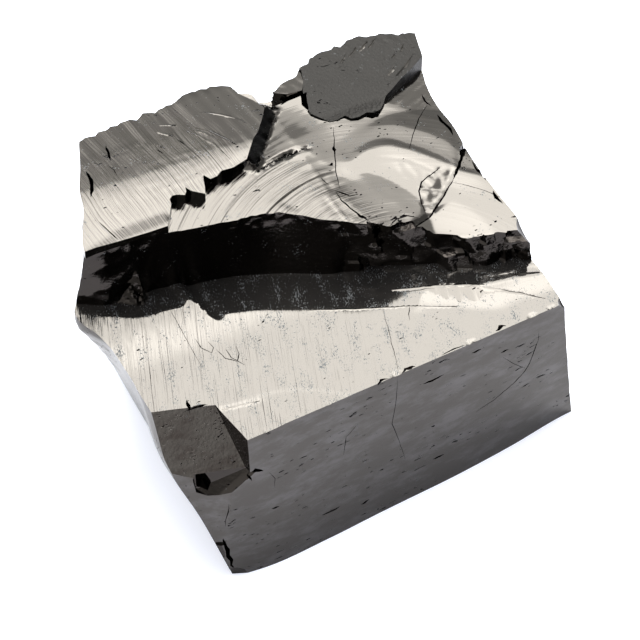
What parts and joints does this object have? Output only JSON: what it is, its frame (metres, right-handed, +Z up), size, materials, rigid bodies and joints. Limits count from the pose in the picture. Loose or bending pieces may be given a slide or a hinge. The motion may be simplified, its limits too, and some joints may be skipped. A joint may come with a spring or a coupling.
{
  "type": "shungite stone",
  "caption": "Broken block of noble shungite with a smooth front face, a low mirror-bright ledge and a raised terrace of conchoidal fractures.",
  "frame": {"origin": "centre of the block's bounding box in plan, at the level of its foot", "axes": "+X along the front face to the right, +Y towards the back, +Z up"},
  "size_m": [0.0528, 0.043, 0.0315],
  "materials": {
    "shungite": "glassy, mirror-bright fracture faces, near black where broken rough"
  },
  "bodies": {
    "root": {"shungite_stone": "shungite"}
  },
  "joints": []
}
